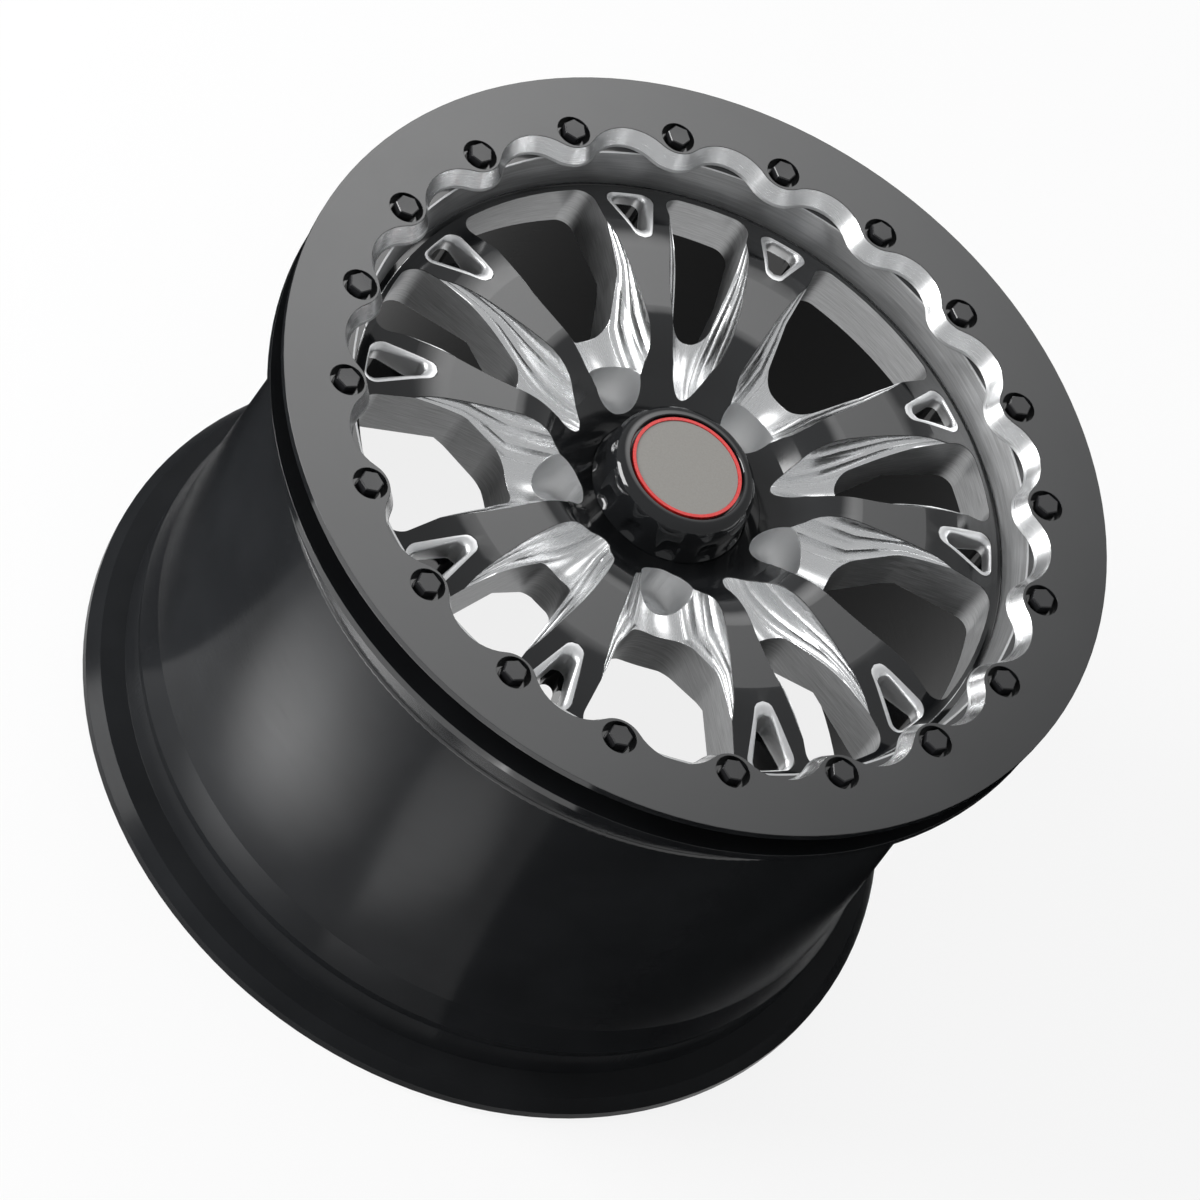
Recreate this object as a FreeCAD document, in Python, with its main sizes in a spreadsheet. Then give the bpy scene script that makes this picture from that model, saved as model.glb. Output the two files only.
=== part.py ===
import FreeCAD, Part
import math
import os
import Sketcher

# Drag-race wheel with a bolt-on bead-clamping ring, for a 15 inch tyre, 10 inches wide.
# Frame: origin on the floor under the middle of the wheel, +Z along the wheel's axis towards
# the street side. The wheel stands on the edge of its inboard flange. Millimetres, degrees.

Vector = FreeCAD.Vector
doc = FreeCAD.newDocument("BeadClampWheel")

# Driving dimensions. A drop is measured down from the street face of the clamp ring, and a
# height up from the floor plane. Half-widths and y of windows and pockets are measured from
# their centre line and from the axis.
DIMENSIONS = [
    # overall
    ("wheel_height", 269.0, "inboard flange edge to street face of the clamp ring"),
    # clamp ring
    ("clamp_outer_r", 204.0, "outer radius"),
    ("clamp_thickness", 9.2, "plate thickness at the bolts"),
    ("clamp_edge_thickness", 3.6, "plate thickness at the outer edge"),
    ("clamp_land_r", 182.5, "where the underside leaves the seat"),
    ("lobe_crest_r", 164.6, "inner edge at a bolt, on the street face"),
    ("lobe_valley_r", 175.6, "inner edge between two bolts, on the street face"),
    ("lobe_arc_r", 12.5, "radius of the wave at a bolt, on the street face"),
    ("lobe_slope", 4.7, "how far the milled inner wall leans in over its height"),
    ("lobe_stock", 1.0, "metal of the blank inside the wave, which the scallops' cutter takes off"),
    # bolts
    ("bolt_count", 20, "clamp bolts"),
    ("bolt_circle_r", 173.9, "bolt circle radius"),
    ("counterbore_r", 8.2, "pocket round a bolt head"),
    ("counterbore_depth", 4.4, "pocket depth"),
    ("bolt_hex_af", 10.0, "hexagon across flats"),
    ("bolt_head_height", 6.4, "head above the pocket's floor"),
    ("bolt_r", 3.95, "shank"),
    ("bolt_length", 21.0, "shank below the head"),
    ("bolt_hole_r", 4.1, "hole for it"),
    ("bolt_hole_spare", 2.0, "blind hole past the end of the shank"),
    # inner ring
    ("seat_bore_r", 167.3, "bore of the bright lip at the clamp ring's seat"),
    ("lip_foot_r", 163.6, "bore at the foot of the bright lip"),
    ("seat_outer_r", 181.0, "outer edge of the seat face"),
    ("shelf_inner_r", 183.0, "inner end of the tyre bead's shelf"),
    ("shelf_drop", 22.4, "drop of the shelf there"),
    ("inner_ring_r", 203.4, "outer radius of the inner ring"),
    ("inner_ring_drop", 19.2, "drop of the shelf's outer edge"),
    ("inner_ring_edge", 4.2, "height of the inner ring's outer edge"),
    ("inner_ring_foot_drop", 57.0, "drop of the face welded to the barrel"),
    ("inner_ring_foot_r", 183.6, "outer radius of that face"),
    # barrel
    ("barrel_top_r", 181.3, "outer radius where the barrel meets the inner ring"),
    ("barrel_wall", 5.6, "wall thickness at the inner ring"),
    ("flare_r", 187.6, "outer radius where the bead hump starts"),
    ("flare_z", 51.0, "height where the bead hump starts"),
    ("hump_r", 190.8, "radius of the bead hump"),
    ("hump_z", 34.6, "height of the bead hump"),
    ("bead_seat_r", 189.6, "bead seat radius, for a 15 inch tyre"),
    ("bead_seat_z", 28.4, "inner end of the bead seat"),
    ("bead_toe_r", 191.4, "bead seat radius at the flange"),
    ("bead_toe_z", 14.4, "height of the bead seat's toe"),
    ("flange_roll_r", 202.6, "where the flange starts to roll over"),
    ("flange_roll_z", 10.8, "height there"),
    ("flange_r", 207.9, "outer radius of the inboard flange"),
    ("flange_edge", 4.6, "height of the flange's outer edge"),
    ("flange_mouth_r", 202.4, "inner edge of the flange's foot"),
    ("barrel_throat_r", 185.0, "inner radius at the bead seat"),
    ("barrel_throat_z", 9.6, "height there"),
    # wheel centre, section
    ("window_wall_r", 158.5, "outer wall of the windows"),
    ("face_band_r", 160.6, "edge of the face band"),
    ("face_band_drop", 27.0, "drop of the face at its edge"),
    ("centre_r", 172.3, "radius of the band that fits in the inner ring"),
    ("centre_top_drop", 29.6, "drop of that band's top"),
    ("centre_back_drop", 51.5, "drop of that band's back"),
    ("face_shoulder_r", 128.0, "where the face starts to fall to the rim"),
    ("face_crown_drop", 16.6, "drop of the face there"),
    ("face_shoulder_round", 60.0, "rounding there"),
    ("face_knee_r", 74.0, "where the face starts to fall to the hub"),
    ("face_knee_drop", 16.0, "drop of the face there"),
    ("face_knee_round", 30.0, "rounding there"),
    ("hub_edge_r", 57.4, "edge of the face at the hub"),
    ("hub_edge_drop", 32.6, "drop there"),
    ("hub_cone_r", 45.3, "foot of the hub's cone"),
    ("hub_flat_drop", 41.0, "drop of the flat round the cap"),
    ("cap_seat_r", 39.0, "bore that takes the cap"),
    ("cap_seat_depth", 20.0, "depth of that bore"),
    ("hub_bore_r", 38.1, "bore that fits the axle's hub"),
    ("pad_r", 71.0, "radius of the mounting pad"),
    ("pad_backspace", 190.5, "height of the mounting pad, 7.5 inches from the flange edge"),
    ("back_hub_r", 86.0, "where the hub meets the spokes' backs"),
    ("back_hub_drop", 61.5, "drop of the back there"),
    ("back_arch_r", 116.0, "middle of the spokes' backs"),
    ("back_arch_drop", 43.0, "drop of the back there"),
    ("back_rim_r", 152.0, "spokes' backs at the rim"),
    # wheel centre, windows
    ("window_pairs", 5, "wide windows, and as many narrow ones"),
    ("window_corner_r", 8.0, "corner of a window at its outer wall"),
    ("wide_hub_y", 84.0, "inner end of a wide window"),
    ("wide_hub_half", 12.0, "its half-width at the inner end"),
    ("wide_hub_round", 13.0, "corner there"),
    ("wide_knee_half", 24.6, "its half-width at the knee"),
    ("wide_knee_y", 107.0, "knee of its side"),
    ("wide_knee_round", 18.0, "rounding there"),
    ("wide_rim_half", 37.4, "its half-width near the rim"),
    ("narrow_hub_y", 85.0, "inner end of a narrow window"),
    ("narrow_hub_half", 8.2, "its half-width at the inner end"),
    ("narrow_hub_round", 9.0, "corner there"),
    ("narrow_rim_half", 21.4, "its half-width near the rim"),
    ("window_rim_y", 150.0, "where the half-widths near the rim are measured"),
    # wheel centre, bright scoops round the windows; half-widths at the face, drops of the floor
    ("scoop_crown_drop", 16.5, "drop of the scoops' widest line where the face is flat"),
    ("scoop_tip_y", 38.0, "inner end of the scoops"),
    ("scoop_hub_y", 62.0, "where they start to widen"),
    ("scoop_mid_y", 107.0, "middle of the windows"),
    ("scoop_outer_y", 126.0, "outer part of the windows"),
    ("scoop_rim_y", 149.0, "outer end of the scoops"),
    ("wide_scoop_hub_half", 21.6, "at the hub"),
    ("wide_scoop_end_half", 26.6, "at the window's inner end"),
    ("wide_scoop_mid_half", 32.0, "at the middle"),
    ("wide_scoop_outer_half", 34.9, "at the outer part"),
    ("wide_scoop_rim_half", 37.2, "at the outer end"),
    ("narrow_scoop_hub_half", 12.4, "at the hub"),
    ("narrow_scoop_end_half", 18.0, "at the window's inner end"),
    ("narrow_scoop_mid_half", 21.1, "at the middle"),
    ("narrow_scoop_outer_half", 22.3, "at the outer part"),
    ("narrow_scoop_rim_half", 21.8, "at the outer end"),
    ("wide_scoop_hub_drop", 40.9, "floor of a wide scoop at the hub"),
    ("narrow_scoop_hub_drop", 39.6, "floor of a narrow scoop at the hub"),
    ("scoop_end_drop", 38.6, "floor at the window's inner end"),
    ("scoop_mid_drop", 29.5, "at the middle"),
    ("scoop_outer_drop", 25.8, "at the outer part"),
    ("scoop_rim_drop", 25.2, "at the outer end"),
    ("scoop_outer_line_drop", 17.4, "drop of the widest line at the outer part"),
    ("scoop_rim_line_drop", 23.6, "drop of the widest line at the outer end"),
    ("outer_flute_depth", 0.446, "depth of a scoop's outer flute, as a share of the scoop's"),
    ("middle_flute_width", 0.909, "width at the middle flute, as a share of the scoop's"),
    ("middle_flute_depth", 0.756, "its depth, as a share"),
    ("inner_flute_width", 0.818, "width at the inner flute, as a share"),
    # wheel centre, lugs
    ("lug_circle_d", 114.3, "lug bolt circle"),
    ("lug_pocket_r", 12.8, "pocket round a lug nut"),
    ("lug_seat_height", 11.0, "metal between the nut's seat and the mounting pad"),
    ("lug_hole_r", 8.75, "hole for the nut's shank"),
    # wheel centre, pockets in the spoke ends
    ("pocket_angle", 20.9, "pocket's centre line, from the wide window's"),
    ("pocket_apex_y", 114.6, "where the sides of a pocket would meet"),
    ("pocket_apex_round", 5.0, "apex radius"),
    ("pocket_side_half", 12.1, "half-width near the rim"),
    ("pocket_side_y", 151.0, "where that is measured"),
    ("pocket_end_r", 156.8, "outer wall of the pocket"),
    ("pocket_corner_r", 5.0, "corner at the outer wall"),
    ("pocket_floor_drop", 33.0, "drop of the pocket's floor"),
    ("pocket_ledge", 1.4, "floor left between the pocket's outer wall and its hole"),
    ("hole_side_ledge", 4.0, "floor left beside the hole"),
    ("hole_corner_r", 3.6, "the hole's corner at the outer wall"),
    ("hole_apex_y", 118.5, "where the hole's sides would meet"),
    ("hole_apex_round", 4.0, "its apex radius"),
    # centre cap
    ("cap_top_drop", 19.4, "drop of the cap's top"),
    ("cap_top_r", 31.4, "radius of the flat top"),
    ("cap_shoulder_r", 35.9, "radius under the rounded shoulder"),
    ("cap_shoulder_drop", 27.4, "drop there"),
    ("cap_fit", 0.15, "radial clearance of the cap in the wheel"),
    ("cap_skirt", 14.0, "skirt below the flat round the cap"),
    ("cap_wall", 6.0, "wall of the skirt"),
    ("cap_crown", 4.0, "metal under the badge"),
    ("cap_recess_r", 28.4, "recess for the badge"),
    ("cap_recess_depth", 2.2, "its depth"),
    ("cap_scallops", 12, "finger scallops round the cap"),
    ("cap_scallop_r", 5.4, "radius of a scallop"),
    ("cap_scallop_bite", 1.9, "depth of a scallop"),
    ("cap_base", 1.2, "plain band left under the scallops"),
    ("badge_r", 25.4, "radius of the badge disc"),
    ("badge_thickness", 1.5, "its thickness"),
    ("accent_wall", 1.6, "radial width of the coloured ring"),
    ("accent_thickness", 1.9, "its height"),
    ("accent_fit", 0.1, "gap between it and the badge"),
    # valve; its pieces stand on one axis, from the seat on the tyre side inward
    ("valve_angle", 71.0, "where the valve stands, round the axis"),
    ("valve_z", 178.0, "height of the valve"),
    ("valve_seat_r", 181.8, "flat under the valve's head, from the wheel's axis"),
    ("valve_seat_wall", 3.6, "metal between the two flats"),
    ("valve_spot_r", 9.5, "radius of the flats"),
    ("valve_spot_reach", 8.0, "travel of their cutters"),
    ("valve_hole_r", 4.0, "valve hole"),
    ("valve_fit", 0.05, "radial clearance of the stem"),
    ("valve_stem_length", 33.0, "stem, inward from the seat"),
    ("valve_head_r", 8.0, "head on the tyre side"),
    ("valve_head_thickness", 2.4, "its thickness"),
    ("valve_nut_af", 14.0, "nut across flats"),
    ("valve_nut_thickness", 6.0, "its thickness"),
    ("valve_cap_wall", 1.3, "wall of the dust cap"),
    ("valve_cap_grip", 9.0, "length of stem inside the dust cap"),
]


class Size:
    """A number that keeps the sheet formula it was worked out with."""

    def __init__(self, value, text):
        self.value = value
        self.text = text

    def join(self, other, sign, value):
        """The size that sign makes of this one and another."""
        return Size(value, f"({self.text} {sign} {as_size(other).text})")

    def __add__(self, other):
        return self.join(other, "+", self.value + as_size(other).value)

    def __sub__(self, other):
        return self.join(other, "-", self.value - as_size(other).value)

    def __mul__(self, other):
        return self.join(other, "*", self.value * as_size(other).value)

    def __truediv__(self, other):
        return self.join(other, "/", self.value / as_size(other).value)

    def __neg__(self):
        return Size(-self.value, f"(-1 * {self.text})")


def as_size(number):
    """A plain number as a size."""
    if isinstance(number, Size):
        return number
    return Size(float(number), repr(float(number)))


ZERO = as_size(0)
FULL_TURN = 360.0
HEXAGON = 6
NEARLY_ZERO = 1e-9

sheet = doc.addObject("Spreadsheet::Sheet", "Dimensions")
for row, (alias, value, note) in enumerate(DIMENSIONS, start=1):
    sheet.set(f"A{row}", alias)
    sheet.set(f"B{row}", str(value))
    sheet.set(f"C{row}", note)
    sheet.setAlias(f"B{row}", alias)
doc.recompute()
size = {
    alias: Size(float(sheet.get(alias)), f"Dimensions.{alias}")
    for alias, value, note in DIMENSIONS
}


def from_street(drop_name):
    """Height of a place that lies a drop below the street face."""
    return size["wheel_height"] - size[drop_name]


def bind(sketch, constraint, length):
    """Adds a constraint whose value follows the sheet."""
    name = f"size_{sketch.addConstraint(constraint)}"
    sketch.renameConstraint(sketch.ConstraintCount - 1, name)
    sketch.setExpression(f"Constraints.{name}", length.text)


def pin(sketch, geometry, end, x, y):
    """Holds a point of a sketch at x, y."""
    for kind, axis, place in (("DistanceX", -2, x), ("DistanceY", -1, y)):
        if abs(place.value) < NEARLY_ZERO:
            sketch.addConstraint(Sketcher.Constraint("PointOnObject", geometry, end, axis))
            continue
        distance = Sketcher.Constraint(kind, -1, 1, geometry, end, place.value)
        bind(sketch, distance, place)


def add_arc(sketch, centre, start, middle, end):
    """Adds an arc through middle, and says which of its ends lies at start."""
    circle = Part.Circle(centre, Vector(0, 0, 1), (start - centre).Length)
    begins, passes, stops = (circle.parameter(point) for point in (start, middle, end))
    turn = 2 * math.pi
    forward = (passes - begins) % turn < (stops - begins) % turn
    first, last = (begins, stops) if forward else (stops, begins)
    arc = Part.ArcOfCircle(circle, first, first + (last - first) % turn)
    return sketch.addGeometry(arc, False), (1 if forward else 2)


def corner_circle(here, back, on, radius):
    """Centre and touching points of the circle that rounds a corner between two straight sides."""
    half = back.getAngle(on) / 2
    middle = back + on
    middle.normalize()
    centre = here + middle * (radius / math.sin(half))
    run = radius / math.tan(half)
    return centre, here + back * run, here + on * run


def rim_circle(here, along, inward, radius, rim_r):
    """Centre and touching points of the circle that joins a side to an arc about the axis."""
    start = here + inward * radius
    reach = start.dot(along)
    travel = -reach + math.sqrt(reach**2 - start.dot(start) + (rim_r - radius) ** 2)
    centre = start + along * travel
    return centre, here + along * travel, centre * (rim_r / centre.Length)


def outline(sketch, corners, rim=None):
    """Draws a closed outline through its corners, each (x, y) or (x, y, radius of its rounding).

    With rim, the side from the last corner to the first is an arc of that radius about the
    origin, and those two corners are points on the sides next to it.
    """
    count = len(corners)
    points = [Vector(corner[0].value, corner[1].value, 0) for corner in corners]
    rounds = []
    for i, here in enumerate(points):
        back = (points[i - 1] - here).normalize()
        on = (points[(i + 1) % count] - here).normalize()
        if len(corners[i]) == 2:
            rounds.append((None, here, here))
            continue
        radius = corners[i][2].value
        if rim is None or 0 < i < count - 1:
            rounds.append(corner_circle(here, back, on, radius))
            continue
        along = -on if i == 0 else -back
        inward = Vector(-here.x, 0, 0).normalize()
        inward = (inward - along * inward.dot(along)).normalize()
        centre, on_side, on_rim = rim_circle(here, along, inward, radius, rim.value)
        rounds.append((centre, on_rim, on_side) if i == 0 else (centre, on_side, on_rim))

    sides = []
    for i in range(count):
        start, end = rounds[i][2], rounds[(i + 1) % count][1]
        if rim is not None and i == count - 1:
            top = (start + end).normalize() * rim.value
            number, first = add_arc(sketch, Vector(0, 0, 0), start, top, end)
            sketch.addConstraint(Sketcher.Constraint("Coincident", number, 3, -1, 1))
            bind(sketch, Sketcher.Constraint("Radius", number, rim.value), rim)
            sides.append((number, first, 3 - first))
            continue
        number = sketch.addGeometry(Part.LineSegment(start, end), False)
        sides.append((number, 1, 2))

    for i, corner in enumerate(corners):
        before, after = sides[i - 1], sides[i]
        centre, enter, leave = rounds[i]
        if centre is None:
            joint = Sketcher.Constraint("Coincident", before[0], before[2], after[0], after[1])
            sketch.addConstraint(joint)
            pin(sketch, after[0], after[1], corner[0], corner[1])
            continue
        middle = centre + ((enter + leave) * 0.5 - centre).normalize() * corner[2].value
        arc, first = add_arc(sketch, centre, enter, middle, leave)
        for side, side_end, arc_end in ((before[0], before[2], first), (after[0], after[1], 3 - first)):
            sketch.addConstraint(Sketcher.Constraint("Tangent", side, side_end, arc, arc_end))
        bind(sketch, Sketcher.Constraint("Radius", arc, corner[2].value), corner[2])
        mark = sketch.addGeometry(Part.Point(points[i]), True)
        pin(sketch, mark, 1, corner[0], corner[1])
        for place, side in ((i != 0, before[0]), (i != count - 1, after[0])):
            if rim is None or place:
                sketch.addConstraint(Sketcher.Constraint("PointOnObject", mark, 1, side))


def add_circle(sketch, radius, reach):
    """Draws a circle whose centre lies reach from the axis, towards -Y."""
    centre = Vector(0, -reach.value, 0)
    circle = sketch.addGeometry(Part.Circle(centre, Vector(0, 0, 1), radius.value), False)
    bind(sketch, Sketcher.Constraint("Radius", circle, radius.value), radius)
    pin(sketch, circle, 3, ZERO, -reach)


def new_body(label):
    """An empty body whose label names its file."""
    body = doc.addObject("PartDesign::Body", label)
    body.Label = label
    return body


def new_sketch(body, name, role, height=None, turn=None):
    """A sketch on one of the body's own planes, raised along its normal and turned about it."""
    sketch = body.newObject("Sketcher::SketchObject", name)
    plane = [item for item in body.Origin.OriginFeatures if item.Role == role][0]
    sketch.AttachmentSupport = (plane, [""])
    sketch.MapMode = "FlatFace"
    if height is not None:
        turn = as_size(0) if turn is None else turn
        at = Vector(0, 0, height.value)
        sketch.AttachmentOffset = FreeCAD.Placement(at, FreeCAD.Rotation(turn.value, 0, 0))
        sketch.setExpression(".AttachmentOffset.Base.z", height.text)
        sketch.setExpression(".AttachmentOffset.Rotation.Yaw", turn.text)
    return sketch


def volume(body):
    """The body's volume, brought up to date."""
    doc.recompute()
    return body.Shape.Volume


def revolved(label, corners):
    """A body turned about the wheel's axis from one section."""
    body = new_body(label)
    sketch = new_sketch(body, f"{label}_section", "XZ_Plane")
    outline(sketch, corners)
    turned = body.newObject("PartDesign::Revolution", f"{label}_turning")
    turned.Profile = sketch
    turned.ReferenceAxis = (sketch, ["V_Axis"])
    turned.Angle = FULL_TURN
    doc.recompute()
    return body


def cut_all_round(body, name, sketch, count, depth=None):
    """Cuts a sketched pocket, or a hole right through, into a body, count times round the axis."""
    before = volume(body)
    pocket = body.newObject("PartDesign::Pocket", name)
    pocket.Profile = sketch
    if depth is None:
        pocket.Type = "ThroughAll"
    else:
        pocket.Length = depth.value
        pocket.setExpression("Length", depth.text)
    doc.recompute()
    body.Tip = pocket
    one = before - volume(body)
    if one <= 0:
        raise RuntimeError(f"{name} cuts nothing")
    pattern = body.newObject("PartDesign::PolarPattern", f"{name}_round")
    pattern.Originals = [pocket]
    pattern.Axis = (sketch, ["N_Axis"])
    pattern.Angle = FULL_TURN
    pattern.Occurrences = int(count.value)
    pattern.setExpression("Occurrences", count.text)
    doc.recompute()
    body.Tip = pattern
    doc.recompute()
    if before - volume(body) < one * (count.value - 0.5):
        raise RuntimeError(f"{name} isn't cut {count.value:.0f} times")


def cut(label, base, tool):
    """What is left of one shape where another has been cut away."""
    result = doc.addObject("Part::Cut", label)
    result.Label = label
    result.Base = base
    result.Tool = tool
    doc.recompute()
    if not 0 < result.Shape.Volume < base.Shape.Volume:
        raise RuntimeError(f"{label} isn't cut")
    return result


def first_bolt():
    """Turn from -Y to the first clamp bolt, half a pitch, so that two bolts flank -Y."""
    return as_size(FULL_TURN / 2) / size["bolt_count"]


def clamp_ring():
    """Bolted ring with a scalloped inner edge, whose milled wall leans in under the face."""
    top = size["wheel_height"]
    bottom = from_street("clamp_thickness")
    blank_r = size["lobe_crest_r"] - size["lobe_slope"] - size["lobe_stock"]
    blank = revolved(
        "clamp_ring_blank",
        [
            (blank_r, bottom),
            (size["clamp_land_r"], bottom),
            (size["clamp_outer_r"], from_street("clamp_edge_thickness")),
            (size["clamp_outer_r"], top),
            (blank_r, top),
        ],
    )
    for name, radius, depth in (
        ("counterbore", size["counterbore_r"], size["counterbore_depth"]),
        ("bolt_hole", size["bolt_hole_r"], None),
    ):
        sketch = new_sketch(blank, f"{name}_circle", "XY_Plane", top, first_bolt())
        add_circle(sketch, radius, size["bolt_circle_r"])
        cut_all_round(blank, f"{name}s", sketch, size["bolt_count"], depth)

    cutter = doc.addObject("Part::Feature", "clamp_ring_scallops")
    lean = size["lobe_slope"].value
    cutter.Shape = Part.makeLoft([wave(0, top.value), wave(lean, bottom.value)], True, True)
    return cut("clamp_ring", blank, cutter)


def wave(lean, height):
    """Closed wave of tangent arcs round the clamp ring's opening, set in by lean, at a height."""
    half_pitch = math.pi / size["bolt_count"].value
    crest_arc = size["lobe_arc_r"].value
    crest = size["lobe_crest_r"].value + crest_arc
    valley = size["lobe_valley_r"].value
    # The valley's arc touches the crest's arc, which fixes its radius.
    side = crest * math.cos(half_pitch)
    valley_arc = (valley**2 + crest**2 - 2 * valley * side - crest_arc**2) / (
        2 * (valley - side + crest_arc)
    )
    radii = {True: crest_arc + lean, False: valley_arc - lean}
    centres = {True: crest, False: valley - valley_arc}
    edges = []
    count = int(size["bolt_count"].value)
    for step in range(2 * count):
        at_bolt = step % 2 == 1
        angle = -math.pi / 2 + step * half_pitch
        centre = polar(centres[at_bolt], angle, height)
        joints = []
        for beside in (angle - half_pitch, angle + half_pitch):
            towards = polar(centres[not at_bolt], beside, height) - centre
            joints.append(centre + towards.normalize() * radii[at_bolt])
        out = -1 if at_bolt else 1
        middle = centre + polar(out * radii[at_bolt], angle, 0)
        edges.append(Part.Arc(joints[0], middle, joints[1]).toShape())
    return Part.Wire(edges)


def polar(radius, angle, height):
    """A point at a radius and an angle round the axis."""
    return Vector(radius * math.cos(angle), radius * math.sin(angle), height)


def clamp_bolts():
    """Hexagon-head bolts through the clamp ring, standing on the floors of their pockets."""
    foot = from_street("counterbore_depth")
    length = size["bolt_length"]
    head = doc.addObject("Part::Prism", "clamp_bolt_head")
    corner_r = size["bolt_hex_af"] / math.sqrt(3)
    head.Polygon = HEXAGON
    head.Circumradius = corner_r.value
    head.Height = size["bolt_head_height"].value
    head.setExpression("Circumradius", corner_r.text)
    head.setExpression("Height", size["bolt_head_height"].text)
    shank = doc.addObject("Part::Cylinder", "clamp_bolt_shank")
    shank.Radius = size["bolt_r"].value
    shank.Height = length.value
    shank.setExpression("Radius", size["bolt_r"].text)
    shank.setExpression("Height", length.text)
    for item, height in ((head, foot), (shank, foot - length)):
        item.Placement.Base = Vector(0, -size["bolt_circle_r"].value, height.value)
        item.setExpression(".Placement.Base.y", (-size["bolt_circle_r"]).text)
        item.setExpression(".Placement.Base.z", height.text)
    bolt = doc.addObject("Part::Fuse", "clamp_bolt")
    bolt.Base = head
    bolt.Tool = shank
    doc.recompute()
    count = int(size["bolt_count"].value)
    bolts = []
    for step in range(count):
        copy = bolt.Shape.copy()
        angle = first_bolt().value + FULL_TURN * step / count
        copy.rotate(Vector(0, 0, 0), Vector(0, 0, 1), angle)
        bolts.append(copy)
    group = doc.addObject("Part::Feature", "clamp_bolts")
    group.Label = "clamp_bolts"
    group.Shape = Part.makeCompound(bolts)
    return group


def inner_bead_ring():
    """Ring that the clamp ring is bolted to: bright lip inside, shelf for the tyre bead outside."""
    seat = from_street("clamp_thickness")
    under = from_street("centre_top_drop")
    foot = from_street("inner_ring_foot_drop")
    edge = from_street("inner_ring_drop")
    body = revolved(
        "inner_bead_ring",
        [
            (size["seat_bore_r"], seat),
            (size["seat_outer_r"], seat),
            (size["shelf_inner_r"], from_street("shelf_drop")),
            (size["inner_ring_r"], edge),
            (size["inner_ring_r"], edge - size["inner_ring_edge"]),
            (size["inner_ring_foot_r"], foot),
            (size["centre_r"], foot),
            (size["centre_r"], under),
            (size["lip_foot_r"], under),
        ],
    )
    sketch = new_sketch(body, "tapped_hole_circle", "XY_Plane", seat, first_bolt())
    add_circle(sketch, size["bolt_hole_r"], size["bolt_circle_r"])
    through = size["clamp_thickness"] - size["counterbore_depth"]
    depth = size["bolt_length"] - through + size["bolt_hole_spare"]
    cut_all_round(body, "tapped_holes", sketch, size["bolt_count"], depth)
    return body


def barrel():
    """Rolled inboard half of the rim, with hump, bead seat and flange."""
    top = from_street("inner_ring_foot_drop")
    return revolved(
        "barrel_blank",
        [
            (size["barrel_top_r"], top),
            (size["flare_r"], size["flare_z"]),
            (size["hump_r"], size["hump_z"]),
            (size["bead_seat_r"], size["bead_seat_z"]),
            (size["bead_toe_r"], size["bead_toe_z"]),
            (size["flange_roll_r"], size["flange_roll_z"]),
            (size["flange_r"], size["flange_edge"]),
            (size["flange_r"], ZERO),
            (size["flange_mouth_r"], ZERO),
            (size["barrel_throat_r"], size["barrel_throat_z"]),
            (size["barrel_top_r"] - size["barrel_wall"], top),
        ],
    )


def scoop_section(half, y, line, floor):
    """Upright ellipse that a scoop's cutter passes through at y."""
    circle = Part.Wire([Part.Circle(Vector(0, 0, 0), Vector(0, -1, 0), 1).toShape()])
    stretch = FreeCAD.Matrix()
    stretch.scale(half, 1, floor - line)
    stretch.move(Vector(0, -y, line))
    return Part.Wire(circle.transformGeometry(stretch).Edges)


def scoop(kind):
    """Boat-shaped cutter of three nested flutes that mills the scoop of one window, towards -Y."""
    stations = [
        ("scoop_tip_y", "hub", "scoop_crown_drop", f"{kind}_scoop_hub_drop"),
        ("scoop_hub_y", "hub", "scoop_crown_drop", f"{kind}_scoop_hub_drop"),
        (f"{kind}_hub_y", "end", "scoop_crown_drop", "scoop_end_drop"),
        ("scoop_mid_y", "mid", "scoop_crown_drop", "scoop_mid_drop"),
        ("scoop_outer_y", "outer", "scoop_outer_line_drop", "scoop_outer_drop"),
        ("scoop_rim_y", "rim", "scoop_rim_line_drop", "scoop_rim_drop"),
    ]
    flutes = [
        (1.0, size["outer_flute_depth"].value),
        (size["middle_flute_width"].value, size["middle_flute_depth"].value),
        (size["inner_flute_width"].value, 1.0),
    ]
    boats = []
    for width, depth in flutes:
        sections = []
        for place, name, line_drop, floor_drop in stations:
            half = size[f"{kind}_scoop_{name}_half"].value * width
            line = from_street(line_drop).value
            floor = line + (from_street(floor_drop).value - line) * depth
            sections.append(scoop_section(half, size[place].value, line, floor))
        boats.append(Part.makeLoft(sections, True, False))
    return boats[0].fuse(boats[1:])


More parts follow.
